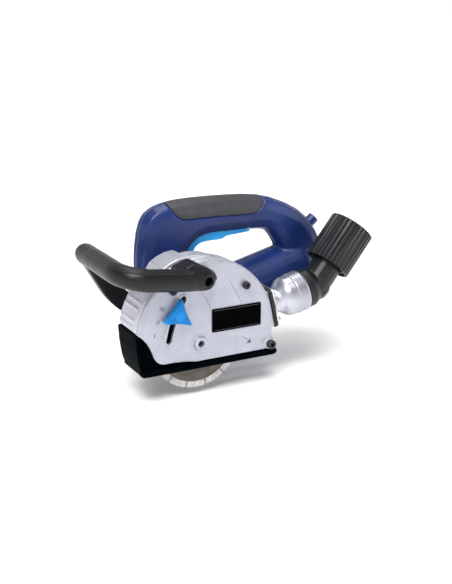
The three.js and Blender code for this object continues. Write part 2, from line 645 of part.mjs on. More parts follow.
function trigger() {
  const side = outline([
    [21, 118, 3], [33, 117, 5], [42, 132, 12], [52, 136, 10], [80, 136, 4], [87, 140, 4], [122, 142, 2],
    [124, 146, 2], [TRIGGER_PIVOT[0] + 4, TRIGGER_PIVOT[1] + 3, 3], [TRIGGER_PIVOT[0] - 4,
      TRIGGER_PIVOT[1] + 3, 3],
    [60, 147.5, 4], [40, 145, 10], [27, 132, 8],
  ]);
  return cut(upright(side, MOTOR_Y - TRIGGER_HALF, MOTOR_Y + TRIGGER_HALF, 0, 1, 3),
    rod(v3(TRIGGER_PIVOT[0], 0, TRIGGER_PIVOT[1]), v3(TRIGGER_PIVOT[0], 200, TRIGGER_PIVOT[1]), 2 + GAP,
      12));
}

// ---------- front handle ----------
const FAR_STRUT_Y = BAR_FAR - 10;
const STRUT_SCREW_Z = 60;
const handleEnd = v3(HANDLE_SCREW[0], LEG_Y, HANDLE_SCREW[1]);

function frontHandle() {
  const bendLeg = v3(-74, LEG_Y, BAR_Z - 5.5);
  const corner = v3(BAR_X + 2, LEG_Y + 1, BAR_Z);
  const bendBar = v3(BAR_X, LEG_Y + 34, BAR_Z);
  const path = new THREE.CurvePath();
  path.add(new THREE.LineCurve3(handleEnd, bendLeg));
  path.add(new THREE.QuadraticBezierCurve3(bendLeg, corner, bendBar));
  path.add(new THREE.LineCurve3(bendBar, v3(BAR_X, BAR_FAR, BAR_Z)));
  const section = new THREE.Shape();
  section.absarc(0, 0, BAR_R, 0, Math.PI * 2, false);
  const g = new THREE.ExtrudeGeometry(section, { steps: 24, curveSegments: 8, extrudePath: path,
    bevelEnabled: false });
  const tube = solid(g);
  const ends = [ball(handleEnd, BAR_R, 12), ball(v3(BAR_X, BAR_FAR, BAR_Z), BAR_R, 12)];
  const foot = rod(handleEnd, v3(handleEnd.x, -GAP, handleEnd.z), 12, 20);
  const saddle = cut(upright(outline([
    [-32, GUARD_TOP - 23, 2], [-34, GUARD_TOP - 5, 4], [-11, GUARD_TOP + 3, 4],
    [14, GUARD_TOP - 11, 6], [18, GUARD_TOP - 23, 4],
  ]), LEG_Y, 13, 0, 1, 3),
  rod(v3(GUARD_X, 0, GUARD_Z), v3(GUARD_X, 60, GUARD_Z), GUARD_R + GAP * 2, 48),
  block(-60, 60, -GAP, 60, 0, GUARD_Z + GUARD_R * 0.75));
  const strut = upright(outline([
    [BAR_X - 11, BAR_Z - 4, 4], [-84, 76, 10], [-64, 54, 8], [GEAR_FRONT - GAP, 50, 2],
    [GEAR_FRONT - GAP, 72, 2], [-60, 86, 10], [BAR_X + 12, BAR_Z - 4, 4],
  ]), FAR_STRUT_Y - 8, FAR_STRUT_Y + 8, 0, 1, 3);
  return cut(join(tube, ...ends, foot, saddle, strut),
    rod(v3(handleEnd.x, -60, handleEnd.z), v3(handleEnd.x, -12, handleEnd.z), 5.5 + GAP, 16),
    rod(v3(handleEnd.x, -60, handleEnd.z), v3(handleEnd.x, 20, handleEnd.z), SCREW_R + GAP, 12),
    rod(v3(-90, FAR_STRUT_Y, STRUT_SCREW_Z), v3(-54, FAR_STRUT_Y, STRUT_SCREW_Z), 5.5, 16),
    rod(v3(-90, FAR_STRUT_Y, STRUT_SCREW_Z), v3(-30, FAR_STRUT_Y, STRUT_SCREW_Z), SCREW_R + GAP, 12));
}

// ---------- dust port ----------
const FLANGE_T = 3;
const GASKET_T = 4;
const portFlangeT = PORT_PAD + GAP + GASKET_T + GAP;

const ELBOW_SEAT = PORT_LEN - 14;  // the elbow's spigot reaches this far into the port

function dustPort() {
  const t0 = portFlangeT;
  const neckEnd = 19;
  const ringStart = PORT_LEN - 15;
  const bore = PORT_NECK_R - PORT_WALL;
  const body = join(
    portPlate(t0, t0 + FLANGE_T, PAD_HALF_Y - 1, PAD_HALF_Z, 6),
    turned([[0, t0], [PORT_NECK_R + 2, t0], [PORT_NECK_R, t0 + FLANGE_T + 3], [PORT_NECK_R, neckEnd],
      [PORT_NECK_R + 3, neckEnd + 5], [PORT_MOUTH_R - 3, neckEnd + 11], [PORT_MOUTH_R - 1, neckEnd + 15],
      [PORT_MOUTH_R - 0.7, ringStart - 1], [PORT_MOUTH_R, ringStart], [PORT_MOUTH_R, PORT_LEN], [0,
        PORT_LEN]],
    portRoot, portAxis, 32));
  return cut(body,
    turned([[0, t0 - 1], [bore, t0 - 1], [bore, neckEnd], [ELBOW_R - 3, neckEnd + 12],
      [ELBOW_R - 3, ELBOW_SEAT - GAP], [PORT_MOUTH_R - PORT_WALL, ELBOW_SEAT - GAP],
      [PORT_MOUTH_R - PORT_WALL, PORT_LEN + 1], [0, PORT_LEN + 1]],
    portRoot, portAxis, 32),
    ...PORT_SCREWS.map((p) => rod(portScrewAt(t0 - 1, p), portScrewAt(t0 + 9, p), 1.5 + GAP, 8)));
}

const turnedSide = v3(-portAxis.z, 0, portAxis.x).applyAxisAngle(portAxis, rad(-ELBOW_TURN));
const collarAxis = portAxis.clone().multiplyScalar(Math.cos(rad(ELBOW_BEND)))
  .addScaledVector(turnedSide, Math.sin(rad(ELBOW_BEND)));
const ELBOW_CORNER = PORT_LEN + 22;
const elbowCorner = portAt(ELBOW_CORNER);
const collarAt = (t) => elbowCorner.clone().addScaledVector(collarAxis, t);
const COLLAR_FROM = 32;

function elbow() {
  const spigot = PORT_MOUTH_R - PORT_WALL - 2 * GAP;
  const outerLeg = turned([[0, ELBOW_SEAT], [spigot, ELBOW_SEAT], [spigot, PORT_LEN],
    [PORT_MOUTH_R - 1, PORT_LEN + GAP], [PORT_MOUTH_R - 1, PORT_LEN + 11], [PORT_MOUTH_R - 3,
      PORT_LEN + 15],
    [ELBOW_R + 1, PORT_LEN + 19], [0, PORT_LEN + 19]], portRoot, portAxis, 32);
  const knee = ball(elbowCorner, ELBOW_R + 2, 12);
  const upper = rod(elbowCorner, collarAt(COLLAR_FROM + COLLAR_LEN - 8), ELBOW_R, 20, ELBOW_R - 1);
  const wall = ELBOW_R - PORT_WALL;
  return cut(join(outerLeg, knee, upper),
    rod(portAt(ELBOW_SEAT - 5), elbowCorner, wall, 16), ball(elbowCorner, wall, 12),
    rod(elbowCorner, collarAt(COLLAR_FROM + COLLAR_LEN), wall, 16, wall - 1));
}

function collar() {
  const from = collarAt(COLLAR_FROM);
  const ribbed = new THREE.Shape();
  const step = 360 / COLLAR_RIBS;
  for (let i = 0; i < COLLAR_RIBS; i += 1) {
    for (const [share, r] of [[0, COLLAR_R], [0.3, COLLAR_R], [0.4, COLLAR_R - 1.5], [0.9,
      COLLAR_R - 1.5]]) {
      const a = rad((i + share) * step);
      const place = i === 0 && share === 0 ? 'moveTo' : 'lineTo';
      ribbed[place](r * Math.cos(a), r * Math.sin(a));
    }
  }
  const tube = aim(extrude(ribbed, COLLAR_LEN).rotateX(-Math.PI / 2), from, collarAxis);
  const bore = turned([[0, -1], [COLLAR_R - 3.5, -1], [COLLAR_R - 3.5, 14], [ELBOW_R + GAP * 2, 16],
    [ELBOW_R + GAP * 2, COLLAR_LEN + 1], [0, COLLAR_LEN + 1]], from, collarAxis, 24);
  return cut(tube, bore);
}

// ---------- pieces ----------
piece('disc_guard', guard(), CAST, 0.55, 0.7);
piece('side_cover', cover(), CAST, 0.55, 0.7);
COVER_SCREWS.forEach(([x, z], i) => {
  const name = ['cover_screw_front', 'cover_screw_rear'][i];
  piece(name, capScrew(v3(x, -GAP, z), v3(0, 1, 0), 20, SCREW_R, HEAD_R, 5.5), BLACK, 0.4, 0.6);
});
piece('pivot_bolt', capScrew(pivotAt(-1.5 - GAP), v3(0, 1, 0), GUARD_W_REAR + 6, PIVOT_R, 6, 6), BLACK,
  0.4, 0.6);
piece('nameplate', upright(outline([[17, 43.5, 2], [87, 43.5, 2], [87, 74, 2], [17, 74, 2]]), -1.1, -GAP,
  0, 1, 3),
  0x101113, 0.5);

piece('depth_sole', sole(), BLACK, 0.5);
const boltHead = rod(boltAt(NEAR_SKIRT + SKIRT_T + GAP), boltAt(NEAR_SKIRT + SKIRT_T + 1.6), 5.5, 6);
piece('clamp_bolt', join(boltHead, rod(boltAt(NEAR_SKIRT + SKIRT_T + 1), boltAt(-9), BOLT_R, 12)), STEEL,
  0.35, 0.9);
piece('clamp_washer', ring(boltAt(-0.8 - GAP), boltAt(-2.2), 8, BOLT_R + GAP, 20), STEEL, 0.35, 0.9);

function clampKnob() {
  const y1 = -2.2 - GAP;
  const polar = (r, a, round) => [r * Math.cos(rad(a)), r * Math.sin(rad(a)), round];
  const wings = [80, 200, 320].flatMap((a) => [
    polar(KNOB_R, a - 5, 2), polar(KNOB_R, a + 5, 2), polar(KNOB_WAIST, a + 44, 6), polar(KNOB_WAIST,
      a + 76, 6),
  ]);
  const g = extrude(outline(wings), KNOB_T * 0.8, 1, 1, 4);
  g.rotateX(Math.PI / 2);
  g.translate(BOLT_X, y1, BOLT_Z);
  const hub = rod(boltAt(y1), boltAt(y1 - KNOB_T), 6.5, 20, 4.5);
  return cut(join(solid(g), hub), rod(boltAt(y1 + 5), boltAt(y1 - 7.2), BOLT_R + GAP, 12));
}
piece('clamp_knob', clampKnob(), BRIGHT, 0.45);

piece('disc_near', disc(DISC_Y), 0x7c7873, 0.5, 0.6);
piece('disc_far', disc(FAR_DISC_Y), 0x7c7873, 0.5, 0.6);
piece('spindle', spindle(), STEEL, 0.35, 0.9);
piece('spacer_sleeve', ring(spindleAt(DISC_Y + DISC_T + GAP), spindleAt(FAR_DISC_Y - GAP), 14, 8 + GAP,
  24), STEEL, 0.4, 0.9);
piece('clamp_flange', ring(spindleAt(spindleSteps.nutFace - 2), spindleAt(spindleSteps.nutFace), 14,
  SPINDLE_R + GAP, 24),
  STEEL, 0.4, 0.9);
piece('crown_gear', crownGear(), STEEL, 0.4, 0.9);
piece('pinion', pinion(), STEEL, 0.4, 0.9);
piece('spindle_bearing_near', ring(spindleAt(GUARD_W_REAR + 9), spindleAt(GUARD_W_REAR + 19), BEARING_R,
  SPINDLE_R + 0.05, 28),
  STEEL, 0.3, 0.9);
piece('spindle_bearing_far', ring(spindleAt(MOTOR_Y + 21), spindleAt(MOTOR_Y + 29), 11, SPINDLE_R + 0.05,
  24), STEEL, 0.3, 0.9);
piece('gear_housing', gearHousing(), CAST, 0.55, 0.7);

// Motor.
const shaftFrom = CROWN_R - 8;
const core = join(rod(motorAt(shaftFrom), motorAt(CROWN_R + 2), 3 - GAP / 2, 12),
  rod(motorAt(CROWN_R + 1), motorAt(182), SHAFT_R, 16));
piece('armature_shaft', core, STEEL, 0.3, 0.9);
piece('armature_core', ring(motorAt(68), motorAt(124), 22, SHAFT_R + GAP, 28), 0x8a5a3a, 0.5, 0.5);
piece('commutator', ring(motorAt(134), motorAt(154), 12, SHAFT_R + GAP, 24), 0xb06b3c, 0.4, 0.8);
function fan() {
  const hub = ring(motorAt(50), motorAt(60), 10, SHAFT_R + GAP, 20);
  const plate = ring(motorAt(50), motorAt(51.5), MOTOR_R - SHELL - 2.5, 8, 18);
  const blades = [];
  for (let i = 0; i < 9; i += 1) {
    const g = new THREE.BoxGeometry(9, MOTOR_R - SHELL - 13, 1.6);
    g.translate(5.5 + 50, (MOTOR_R - SHELL - 4) / 2 + 5, 0);
    g.rotateX(rad(i * 40));
    g.rotateY(-rad(MOTOR_TILT));
    g.translate(0, MOTOR_Y, SPINDLE_Z);
    blades.push(solid(g));
  }
  return join(hub, plate, ...blades);
}
piece('cooling_fan', fan(), BLACK, 0.5);
piece('stator', ring(motorAt(70), motorAt(122), MOTOR_R - SHELL - 0.8, 23.5, 32), 0x6d7076, 0.5, 0.7);
piece('motor_bearing_front', ring(motorAt(31), motorAt(42), 13, SHAFT_R + 0.05, 24), STEEL, 0.3, 0.9);
piece('motor_bearing_rear', ring(motorAt(173), motorAt(182), 11, SHAFT_R + 0.05, 24), STEEL, 0.3, 0.9);
for (const [name, side] of [['near', -1], ['far', 1]]) {
  const at = (d) => motorAt(144).add(v3(0, side * d, 0));
  piece(`carbon_brush_${name}`, rod(at(12 + GAP), at(24), 3.5, 4), 0x2a2a2a, 0.7);
  piece(`brush_holder_${name}`, cut(rod(at(16), at(MOTOR_R - SHELL - 1.2), 6.5, 12), rod(at(10), at(30),
    4.2, 4)), 0xb08d4a, 0.4, 0.8);
}

// Housing and handle.
const whole = housing();
piece('housing_near', housingHalf(whole, true), NAVY, 0.45);
piece('housing_far', housingHalf(whole, false), NAVY, 0.45);
HOUSING_SCREWS.forEach(([x, z], i) => {
  piece(`housing_screw_${i + 1}`, capScrew(v3(x, MOTOR_Y + 12 + GAP, z), v3(0, -1, 0), 17, 2, 4, 3),
    STEEL, 0.4, 0.8);
});
const gripShell = cut(both(handleSlab(), upright(gripRegion(), MOTOR_Y - 40, MOTOR_Y + 40)),
  handleSlab(GRIP_COVER_T));
piece('soft_grip', gripShell, 0x4b4b4d, 0.8);
piece('trigger', trigger(), BRIGHT, 0.45);
piece('trigger_pin', rod(v3(TRIGGER_PIVOT[0], MOTOR_Y - 13.5, TRIGGER_PIVOT[1]),
  v3(TRIGGER_PIVOT[0], MOTOR_Y + 13.5, TRIGGER_PIVOT[1]), 2, 12), STEEL, 0.4, 0.9);
piece('switch_module', block(SWITCH_X[0], SWITCH_X[1], MOTOR_Y - 12, MOTOR_Y + 12, SWITCH_Z[0],
  SWITCH_Z[1]), BLACK, 0.5);
const inletFrom = INLET_AT.clone().addScaledVector(INLET_AXIS, -18);
const inletTo = INLET_AT.clone().addScaledVector(INLET_AXIS, 18);
piece('cord_inlet', ring(inletFrom, inletTo, 8, 4, 20), NAVY, 0.5);

piece('front_handle', frontHandle(), BLACK, 0.5);
piece('handle_screw_near', capScrew(v3(handleEnd.x, -12 - GAP, handleEnd.z), v3(0, 1, 0), 31, SCREW_R, 5,
  4), BLACK, 0.4, 0.6);
piece('handle_screw_far', capScrew(v3(-54 - GAP, FAR_STRUT_Y, STRUT_SCREW_Z), v3(1, 0, 0), 18, SCREW_R,
  5, 4), BLACK, 0.4, 0.6);

// Spindle lock.
const lockZ = SPINDLE_Z;
const lockY = MOTOR_Y - 12.5;
piece('spindle_lock', join(
  rod(v3(GEAR_FRONT - 7, lockY, lockZ), v3(GEAR_FRONT - 4, lockY, lockZ), 6, 16),
  rod(v3(GEAR_FRONT - 5, lockY, lockZ), v3(-29.5, lockY, lockZ), 3, 12)), BLACK, 0.5);

// Dust port.
piece('port_gasket', cut(portPlate(PORT_PAD + GAP, PORT_PAD + GAP + GASKET_T, PAD_HALF_Y + 1,
  PAD_HALF_Z + 2, 6),
  rod(portAt(-5), portAt(30), PORT_NECK_R - PORT_WALL, 24),
  ...PORT_SCREWS.map((p) => rod(portScrewAt(-2, p), portScrewAt(20, p), 1.5 + GAP, 8))), BLACK, 0.8);
piece('dust_port', dustPort(), 0xcfd0d8, 0.3, 0.9);
PORT_SCREWS.forEach((p, i) => {
  piece(`port_screw_${i + 1}`, capScrew(portScrewAt(portFlangeT + FLANGE_T + GAP, p),
    portAxis.clone().negate(), 10, 1.5, 2.8, 2.4),
    STEEL, 0.3, 0.9);
});
piece('port_elbow', elbow(), BLACK, 0.35);
piece('hose_collar', collar(), BLACK, 0.5);

export default model;
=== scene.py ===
"""A twin-disc wall chaser: looks built around its fixed CAD frame."""

import json
import math

import bmesh
import bpy
from mathutils import Matrix, Vector

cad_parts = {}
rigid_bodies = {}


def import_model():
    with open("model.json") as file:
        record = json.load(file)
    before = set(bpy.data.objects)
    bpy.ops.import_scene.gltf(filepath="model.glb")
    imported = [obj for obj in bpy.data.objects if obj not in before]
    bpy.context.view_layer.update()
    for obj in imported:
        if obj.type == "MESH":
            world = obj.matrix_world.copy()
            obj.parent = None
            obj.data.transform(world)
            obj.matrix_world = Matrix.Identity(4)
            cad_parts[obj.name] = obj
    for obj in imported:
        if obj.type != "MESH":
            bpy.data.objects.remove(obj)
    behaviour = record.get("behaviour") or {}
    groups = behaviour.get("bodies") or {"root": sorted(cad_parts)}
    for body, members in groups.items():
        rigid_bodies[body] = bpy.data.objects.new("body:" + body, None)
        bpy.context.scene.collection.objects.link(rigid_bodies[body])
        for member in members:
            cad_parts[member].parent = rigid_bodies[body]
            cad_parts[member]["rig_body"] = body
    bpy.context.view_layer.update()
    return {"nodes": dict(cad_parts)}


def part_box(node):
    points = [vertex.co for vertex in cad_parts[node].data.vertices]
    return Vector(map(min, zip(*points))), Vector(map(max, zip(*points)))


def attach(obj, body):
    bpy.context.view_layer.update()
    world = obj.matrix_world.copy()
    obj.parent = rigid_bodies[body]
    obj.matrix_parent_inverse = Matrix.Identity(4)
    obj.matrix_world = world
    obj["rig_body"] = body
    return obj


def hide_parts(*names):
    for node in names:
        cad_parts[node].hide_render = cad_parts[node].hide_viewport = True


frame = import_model()

MM = 0.001
SPINDLE_Z = 32.5 * MM
PIVOT = Vector((101, 0, 15)) * MM
SLOT_R = 146 * MM
BOLT_ANGLE = math.radians(24.4)
BOLT = PIVOT + Vector((-math.cos(BOLT_ANGLE), 0, math.sin(BOLT_ANGLE))) * SLOT_R
PORT_TILT = math.radians(13)
PORT_DIR = Vector((math.cos(PORT_TILT), 0, math.sin(PORT_TILT)))
PORT_ROOT = Vector((105, 27, 58)) * MM
PORT_LEN = 60
PORT_MOUTH_R = 27.5
PORT_NECK_R = 16.5
ELBOW_CORNER = PORT_ROOT + PORT_DIR * 82 * MM
ELBOW_BEND = math.radians(36)
ELBOW_SIDE = Matrix.Rotation(math.radians(-6), 3, PORT_DIR) @ Vector((-PORT_DIR.z, 0, PORT_DIR.x))
COLLAR_DIR = PORT_DIR * math.cos(ELBOW_BEND) + ELBOW_SIDE * math.sin(ELBOW_BEND)
COLLAR_FROM = 32
COLLAR_LEN = 63
COLLAR_R = 31.5
FLOOR_Z = -40 * MM


# ---------- materials ----------
def linear(hex_code):
    """An sRGB hex colour as the linear RGBA that shaders use."""
    channels = [int(hex_code[i : i + 2], 16) / 255 for i in (0, 2, 4)]
    curve = [c / 12.92 if c <= 0.04045 else ((c + 0.055) / 1.055) ** 2.4 for c in channels]
    return (*curve, 1.0)


def add_node(tree, kind, settings=None, links=None):
    """One shader node: its attributes and constant inputs, then the sockets that feed it."""
    node = tree.nodes.new(kind)
    for key, value in (settings or {}).items():
        if isinstance(key, str) and hasattr(node, key):
            setattr(node, key, value)
        else:
            node.inputs[key].default_value = value
    for key, source in (links or {}).items():
        tree.links.new(source, node.inputs[key])
    return node


def ramp(tree, source, stops):
    """A colour ramp over a factor; stops are (position, hex colour)."""
    node = add_node(tree, "ShaderNodeValToRGB", links={"Fac": source})
    elements = node.color_ramp.elements
    while len(elements) < len(stops):
        elements.new(0.5)
    for element, (position, colour) in zip(elements, stops):
        element.position = position
        element.color = linear(colour)
    return node.outputs["Color"]


def finish_of(name, dark, light, grain_mm, rough, rough_spread, bump_mm, metal=0.0, ior=1.5, coat=0.0,
              blotch_mm=30.0, stretch=(1.0, 1.0, 1.0), edge=None, speckle=0.15):
    """A surface with broad tone changes, fine grain in its roughness and a fine relief.

    edge is the colour of a painted highlight along the sharpest edges, and speckle is how much of the tone
    change is as fine as the grain.
    """
    material = bpy.data.materials.new(name)
    material.use_nodes = True
    tree = material.node_tree
    tree.nodes.clear()
    place = add_node(tree, "ShaderNodeTexCoord").outputs["Object"]
    mapped = add_node(tree, "ShaderNodeMapping", {"Scale": stretch}, {"Vector": place}).outputs["Vector"]
    broad = add_node(tree, "ShaderNodeTexNoise", {"Scale": 1000 / blotch_mm, "Detail": 4.0},
                     {"Vector": mapped})
    fine = add_node(tree, "ShaderNodeTexNoise", {"Scale": 1000 / grain_mm, "Detail": 3.0},
                    {"Vector": mapped})
    fine_share = add_node(tree, "ShaderNodeMath", {"operation": "MULTIPLY", 1: speckle},
                          {0: fine.outputs["Fac"]})
    tone = add_node(tree, "ShaderNodeMath", {"operation": "MULTIPLY_ADD", 1: 1 - speckle},
                    {0: broad.outputs["Fac"], 2: fine_share.outputs["Value"]})
    colour = ramp(tree, tone.outputs["Value"], [(0.36, dark), (0.64, light)])
    # Painted highlight: the edge colour is laid over the sharpest edges, as if light caught them.
    if edge is not None:
        point = add_node(tree, "ShaderNodeNewGeometry").outputs["Pointiness"]
        painted_edge_highlight = add_node(tree, "ShaderNodeMapRange",
                        {"From Min": 0.52, "From Max": 0.6, "To Min": 0.0, "To Max": 0.75},
                        {"Value": point})
        mixed = add_node(tree, "ShaderNodeMix", {"data_type": "RGBA", 7: linear(edge)},
                         {0: painted_edge_highlight.outputs["Result"], 6: colour})
        colour = mixed.outputs[2]
    roughness = add_node(tree, "ShaderNodeMapRange",
                         {"To Min": rough - rough_spread, "To Max": rough + rough_spread},
                         {"Value": fine.outputs["Fac"]})
    bump = add_node(tree, "ShaderNodeBump", {"Strength": 1.0, "Distance": bump_mm * MM},
                    {"Height": fine.outputs["Fac"]})
    shader = add_node(tree, "ShaderNodeBsdfPrincipled",
                      {"Metallic": metal, "IOR": ior, "Coat Weight": coat, "Coat Roughness": 0.2},
                      {"Base Color": colour, "Roughness": roughness.outputs["Result"],
                       "Normal": bump.outputs["Normal"]})
    add_node(tree, "ShaderNodeOutputMaterial", links={"Surface": shader.outputs["BSDF"]})
    return material


# Where a finish below is given an edge colour, that colour is a painted highlight along its sharp edges.
# Sand-cast aluminium, shot blasted: pale grey with a fine speckle, and brighter edges that are a painted
# highlight.
CAST_ALUMINIUM = finish_of("cast_aluminium", "9c9da8", "d2d3dc", 1.1, 0.44, 0.14, 0.18, metal=0.6,
                           blotch_mm=12, edge="f2f2f6", speckle=0.75)
# The cover is the same alloy, linished flat: a broad soft sheen over a fine speckle.
LINISHED_ALUMINIUM = finish_of("linished_aluminium", "8f909c", "c0c1cc", 1.1, 0.44, 0.12, 0.12, metal=0.62,
                               blotch_mm=20, edge="f8f8fc", speckle=0.8)
# Lathe-turned aluminium: bright, with the tool's fine rings modelled on it.
TURNED_ALUMINIUM = finish_of("turned_aluminium", "a2a3ad", "cccdd5", 1.0, 0.33, 0.08, 0.05, metal=0.9,
                             blotch_mm=60, edge="f4f4f8")
# The plastics with an IOR under 1.45 have it lower than the real ones, to lay less white sheen on the colour.
# Glass-filled nylon dyed navy: satin, with a fine moulded texture and soft broad highlights.
NAVY_NYLON = finish_of("navy_nylon", "0b2050", "122a64", 0.8, 0.36, 0.07, 0.05, blotch_mm=45, coat=0.05,
                       ior=1.42, edge="34549a")
# ABS in signal blue: glossy off the tool, a clean even colour. The trigger sits in the handle's shade, so its
# copy of the blue is set paler: painted light that offsets that shade.
BLUE_ABS = finish_of("signal_blue_abs", "0062a6", "0070b6", 1.2, 0.34, 0.05, 0.03, ior=1.28, blotch_mm=20,
                     edge="2f9ce8")
TRIGGER_ABS_PAINTED_LIGHT = finish_of("signal_blue_abs_painted_light", "0a9cee", "20b0fa", 1.2, 0.34, 0.05, 0.03, ior=1.4,
                        blotch_mm=20, edge="60c4ff")
# Thermoplastic rubber over the grip: dull dark grey, with a fine spark-eroded grain.
GRIP_RUBBER = finish_of("grip_rubber", "2b2c2f", "38393d", 0.9, 0.62, 0.08, 0.14, blotch_mm=18, speckle=0.5)
# Black nylon: the front handle and small mouldings, satin, with a painted grey highlight along its edges.
BLACK_NYLON = finish_of("black_nylon", "08090a", "0f1012", 0.9, 0.36, 0.08, 0.06, ior=1.38, blotch_mm=20,
                        edge="2c2d32")
# Polished black polyamide: the sole, glossy and near black with a cool tint. Its nose is seen at a grazing
# angle, where a real IOR's sheen would turn it grey.
SOLE_POLYAMIDE = finish_of("sole_polyamide", "010305", "020608", 1.0, 0.34, 0.07, 0.04, ior=1.03,
                           blotch_mm=25, edge="20282d")
# Injection-moulded black polypropylene: the elbow and the hose collar.
BLACK_POLYPROPYLENE = finish_of("black_polypropylene", "0a0b0d", "131417", 0.9, 0.36, 0.08, 0.05,
                                blotch_mm=16, ior=1.42, edge="2c2e32")
# Gasket rubber: very dark and dull.
GASKET_RUBBER = finish_of("gasket_rubber", "060607", "0c0c0d", 1.0, 0.6, 0.08, 0.08)
# Black-oxide steel: the socket screws.
BLACK_OXIDE = finish_of("black_oxide_steel", "060607", "0d0d0f", 0.5, 0.38, 0.08, 0.03, metal=0.2,
                        edge="2c2c30")
# Zinc-plated steel: small fasteners, bright and slightly blue.
ZINC_STEEL = finish_of("zinc_plated_steel", "a7abb2", "ccd0d6", 0.6, 0.28, 0.08, 0.02, metal=1.0)
# Ground steel: shafts and gears, with grinding marks along one way.
GROUND_STEEL = finish_of("ground_steel", "8c8e92", "b2b4b8", 0.4, 0.25, 0.07, 0.02, metal=1.0,
                         stretch=(1.0, 6.0, 1.0))
# Saw-steel core of a cutting disc: brown-grey with rolling marks.
SAW_STEEL = finish_of("saw_steel", "4b4641", "635c55", 0.7, 0.46, 0.10, 0.04, metal=0.6, blotch_mm=12)
# Sintered diamond segments: pale grey and gritty.
DIAMOND_SEGMENT = finish_of("diamond_segment", "9a9997", "cfcecb", 1.2, 0.55, 0.12, 0.2, metal=0.35,
                            blotch_mm=4, speckle=0.5)
# Acrylic label: black, satin and flat.
BLACK_LABEL = finish_of("black_label", "010102", "030304", 2.0, 0.42, 0.04, 0.01, blotch_mm=30, ior=1.06)
# Filled engraving on the cover: grey enamel in cut lines.
ENGRAVING = finish_of("grey_enamel", "4d4e56", "5d5e66", 0.8, 0.5, 0.08, 0.02)
# Stamped silicon-steel laminations and wound copper inside the motor.
LAMINATION = finish_of("silicon_steel", "4a3f37", "5f5248", 0.5, 0.45, 0.08, 0.05, metal=0.6,
                       stretch=(8.0, 1.0, 1.0))
COPPER = finish_of("copper", "a4633c", "c67f52", 0.6, 0.32, 0.08, 0.02, metal=1.0)
BRASS = finish_of("brass", "a98a45", "c6a75c", 0.6, 0.32, 0.08, 0.02, metal=1.0)
CARBON = finish_of("pressed_carbon", "151516", "202022", 0.5, 0.55, 0.08, 0.05)


# ---------- shaping helpers ----------
def shown(name, bm, material, body, stands_for=(), smooth_deg=35.0):
    """A finished mesh as an object that rides on a CAD body."""
    mesh = bpy.data.meshes.new(name)
    bm.to_mesh(mesh)
    bm.free()
    thing = bpy.data.objects.new(name, mesh)
    bpy.context.scene.collection.objects.link(thing)
    mesh.materials.append(material)
    mesh.shade_smooth()
    mesh.set_sharp_from_angle(angle=math.radians(smooth_deg))
    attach(thing, body)
    if stands_for:
        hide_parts(*stands_for)
    return thing


def merged_copy(node):
    """A CAD node's mesh, copied, with its loose triangles merged into one skin."""
    bm = bmesh.new()
    bm.from_mesh(frame["nodes"][node].data)
    bmesh.ops.remove_doubles(bm, verts=bm.verts, dist=0.01 * MM)
    return bm


def moulded(node, material, voxel_mm, rounds):
    """A CAD node's form with softly rounded edges, as a moulding or a casting has."""
    bm = merged_copy(node)
    body = frame["nodes"][node]["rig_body"]
    thing = shown(node + "_skin", bm, material, body, [node], 180.0)
    remesh = thing.modifiers.new("even_skin", "REMESH")
    remesh.mode = "VOXEL"
    remesh.voxel_size = voxel_mm * MM
    remesh.use_smooth_shade = True
    smooth = thing.modifiers.new("rounded_edges", "SMOOTH")
    smooth.factor = 0.5
    smooth.iterations = rounds


def grown_verts(step):
    """The vertices that an extrusion made."""
    return [item for item in step["geom"] if isinstance(item, bmesh.types.BMVert)]


def grown_ring(step):
    """The edges of the rim that an extrusion made."""
    verts = set(grown_verts(step))
    edges = [item for item in step["geom"] if isinstance(item, bmesh.types.BMEdge)]
    return [edge for edge in edges if verts.issuperset(edge.verts)]


def frame_along(origin, direction):
    """A transform whose Z axis runs along a direction from an origin."""
    turn = Vector((0, 0, 1)).rotation_difference(Vector(direction).normalized())
    return Matrix.Translation(origin) @ turn.to_matrix().to_4x4()


def lathe(profile, origin, direction, steps):
    """A body of revolution from a closed profile of (along, radius) pairs in mm."""
    bm = bmesh.new()
    points = [bm.verts.new((radius * MM, 0, along * MM)) for along, radius in profile]
    for pair in zip(points, points[1:] + points[:1]):
        bm.edges.new(pair)
    bmesh.ops.spin(bm, geom=bm.verts[:] + bm.edges[:], cent=(0, 0, 0), axis=(0, 0, 1),
                   angle=math.tau, steps=steps, use_merge=True)
    bmesh.ops.remove_doubles(bm, verts=bm.verts, dist=0.005 * MM)
    bmesh.ops.recalc_face_normals(bm, faces=bm.faces)
    bmesh.ops.transform(bm, matrix=frame_along(origin, direction), verts=bm.verts)
    return bm


def slab(points, depth_from, depth_to):
    """An upright plate: an outline in X and Z (mm), extruded along Y."""
    bm = bmesh.new()
    corners = [bm.verts.new((x * MM, depth_from * MM, z * MM)) for x, z in points]
    face = bm.faces.new(corners)
    far_side = grown_verts(bmesh.ops.extrude_face_region(bm, geom=[face]))
    bmesh.ops.translate(bm, verts=far_side, vec=(0, (depth_to - depth_from) * MM, 0))
    bmesh.ops.recalc_face_normals(bm, faces=bm.faces)
    return bm


KNURL_STEPS = 48
KNURL_DEPTH = 0.965


